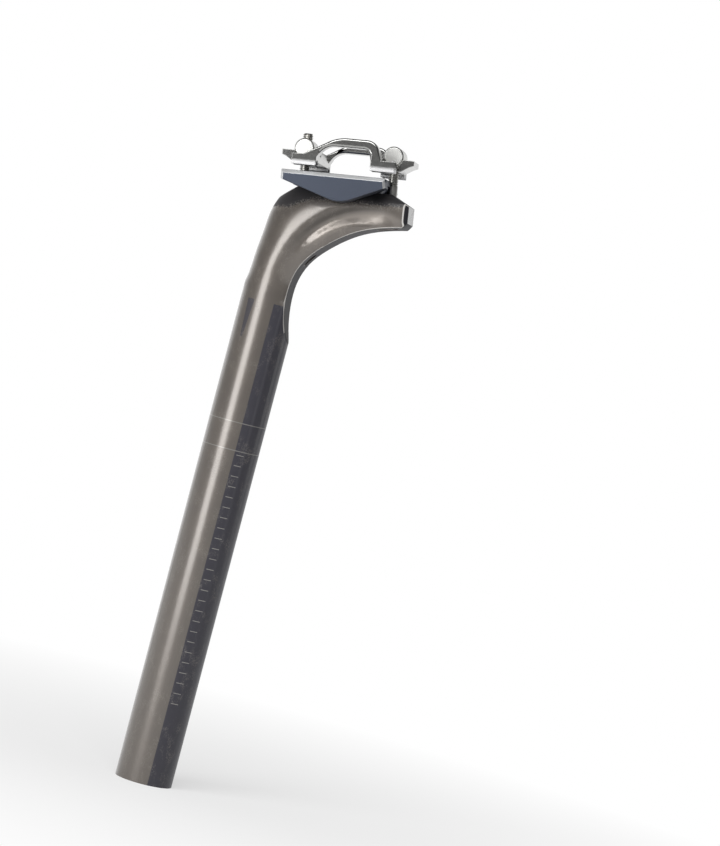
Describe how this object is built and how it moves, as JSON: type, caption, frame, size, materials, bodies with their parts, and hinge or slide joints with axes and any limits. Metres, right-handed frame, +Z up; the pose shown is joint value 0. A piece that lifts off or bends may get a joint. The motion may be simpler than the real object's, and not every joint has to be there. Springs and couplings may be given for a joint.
{
  "type": "suspension seatpost",
  "caption": "Set-back carbon seatpost whose slim, flat-backed neck flexes, with a rocking two-bolt clamp for saddle rails.",
  "frame": {"origin": "centre of the shaft's lower end, on its axis", "axes": "+Z up the shaft, +X to the rear of the bicycle, where the head overhangs, Y across"},
  "size_m": [0.0685, 0.0544, 0.3175],
  "materials": {
    "carbon": "satin clear-coated carbon composite, brownish graphite",
    "anodised": "matt blue-grey anodised, with bright machined edges",
    "polished": "polished forging",
    "steel": "bright turned",
    "bolt_steel": "plated, rolled thread",
    "washer_steel": "hardened"
  },
  "bodies": {
    "post": {"post": "carbon", "front_washer": "washer_steel", "rear_washer": "washer_steel"},
    "cradle": {"lower_cradle": "anodised"},
    "yoke": {"upper_yoke": "polished"},
    "front_nut": {"front_barrel_nut": "steel"},
    "rear_nut": {"rear_barrel_nut": "steel"},
    "front_bolt": {"front_bolt": "bolt_steel"},
    "rear_bolt": {"rear_bolt": "bolt_steel"}
  },
  "joints": [
    {"name": "clamp_tilt", "type": "hinge", "parent": "post", "child": "cradle", "pos_m": [0.0195, 0, 0.30948], "axis": [0, 1, 0], "range_deg": [-7, 7]},
    {"name": "front_bolt_turn", "type": "hinge", "parent": "post", "child": "front_bolt", "pos_m": [0.00026, 0, 0.29672], "axis": [0.1564, 0, -0.9877], "range_deg": [0, 540]},
    {"name": "rear_bolt_turn", "type": "hinge", "parent": "post", "child": "rear_bolt", "pos_m": [0.04174, 0, 0.30329], "axis": [0.1564, 0, -0.9877], "range_deg": [0, 540]},
    {"name": "yoke_lift", "type": "slide", "parent": "cradle", "child": "yoke", "axis": [-0.1564, 0, 0.9877], "range_m": [0, 0.0012]},
    {"name": "front_nut_swivel", "type": "hinge", "parent": "yoke", "child": "front_nut", "pos_m": [-0.00124, 0, 0.3062], "axis": [0, 1, 0], "range_deg": [-7, 7]},
    {"name": "rear_nut_swivel", "type": "hinge", "parent": "yoke", "child": "rear_nut", "pos_m": [0.04024, 0, 0.31277], "axis": [0, 1, 0], "range_deg": [-7, 7]}
  ],
  "couplings": [
    {"joint": "front_bolt_turn", "follows": "yoke_lift", "rad_per_m": 7854},
    {"joint": "rear_bolt_turn", "follows": "yoke_lift", "rad_per_m": 7854},
    {"joint": "front_nut_swivel", "follows": "clamp_tilt", "ratio": -1},
    {"joint": "rear_nut_swivel", "follows": "clamp_tilt", "ratio": -1}
  ]
}
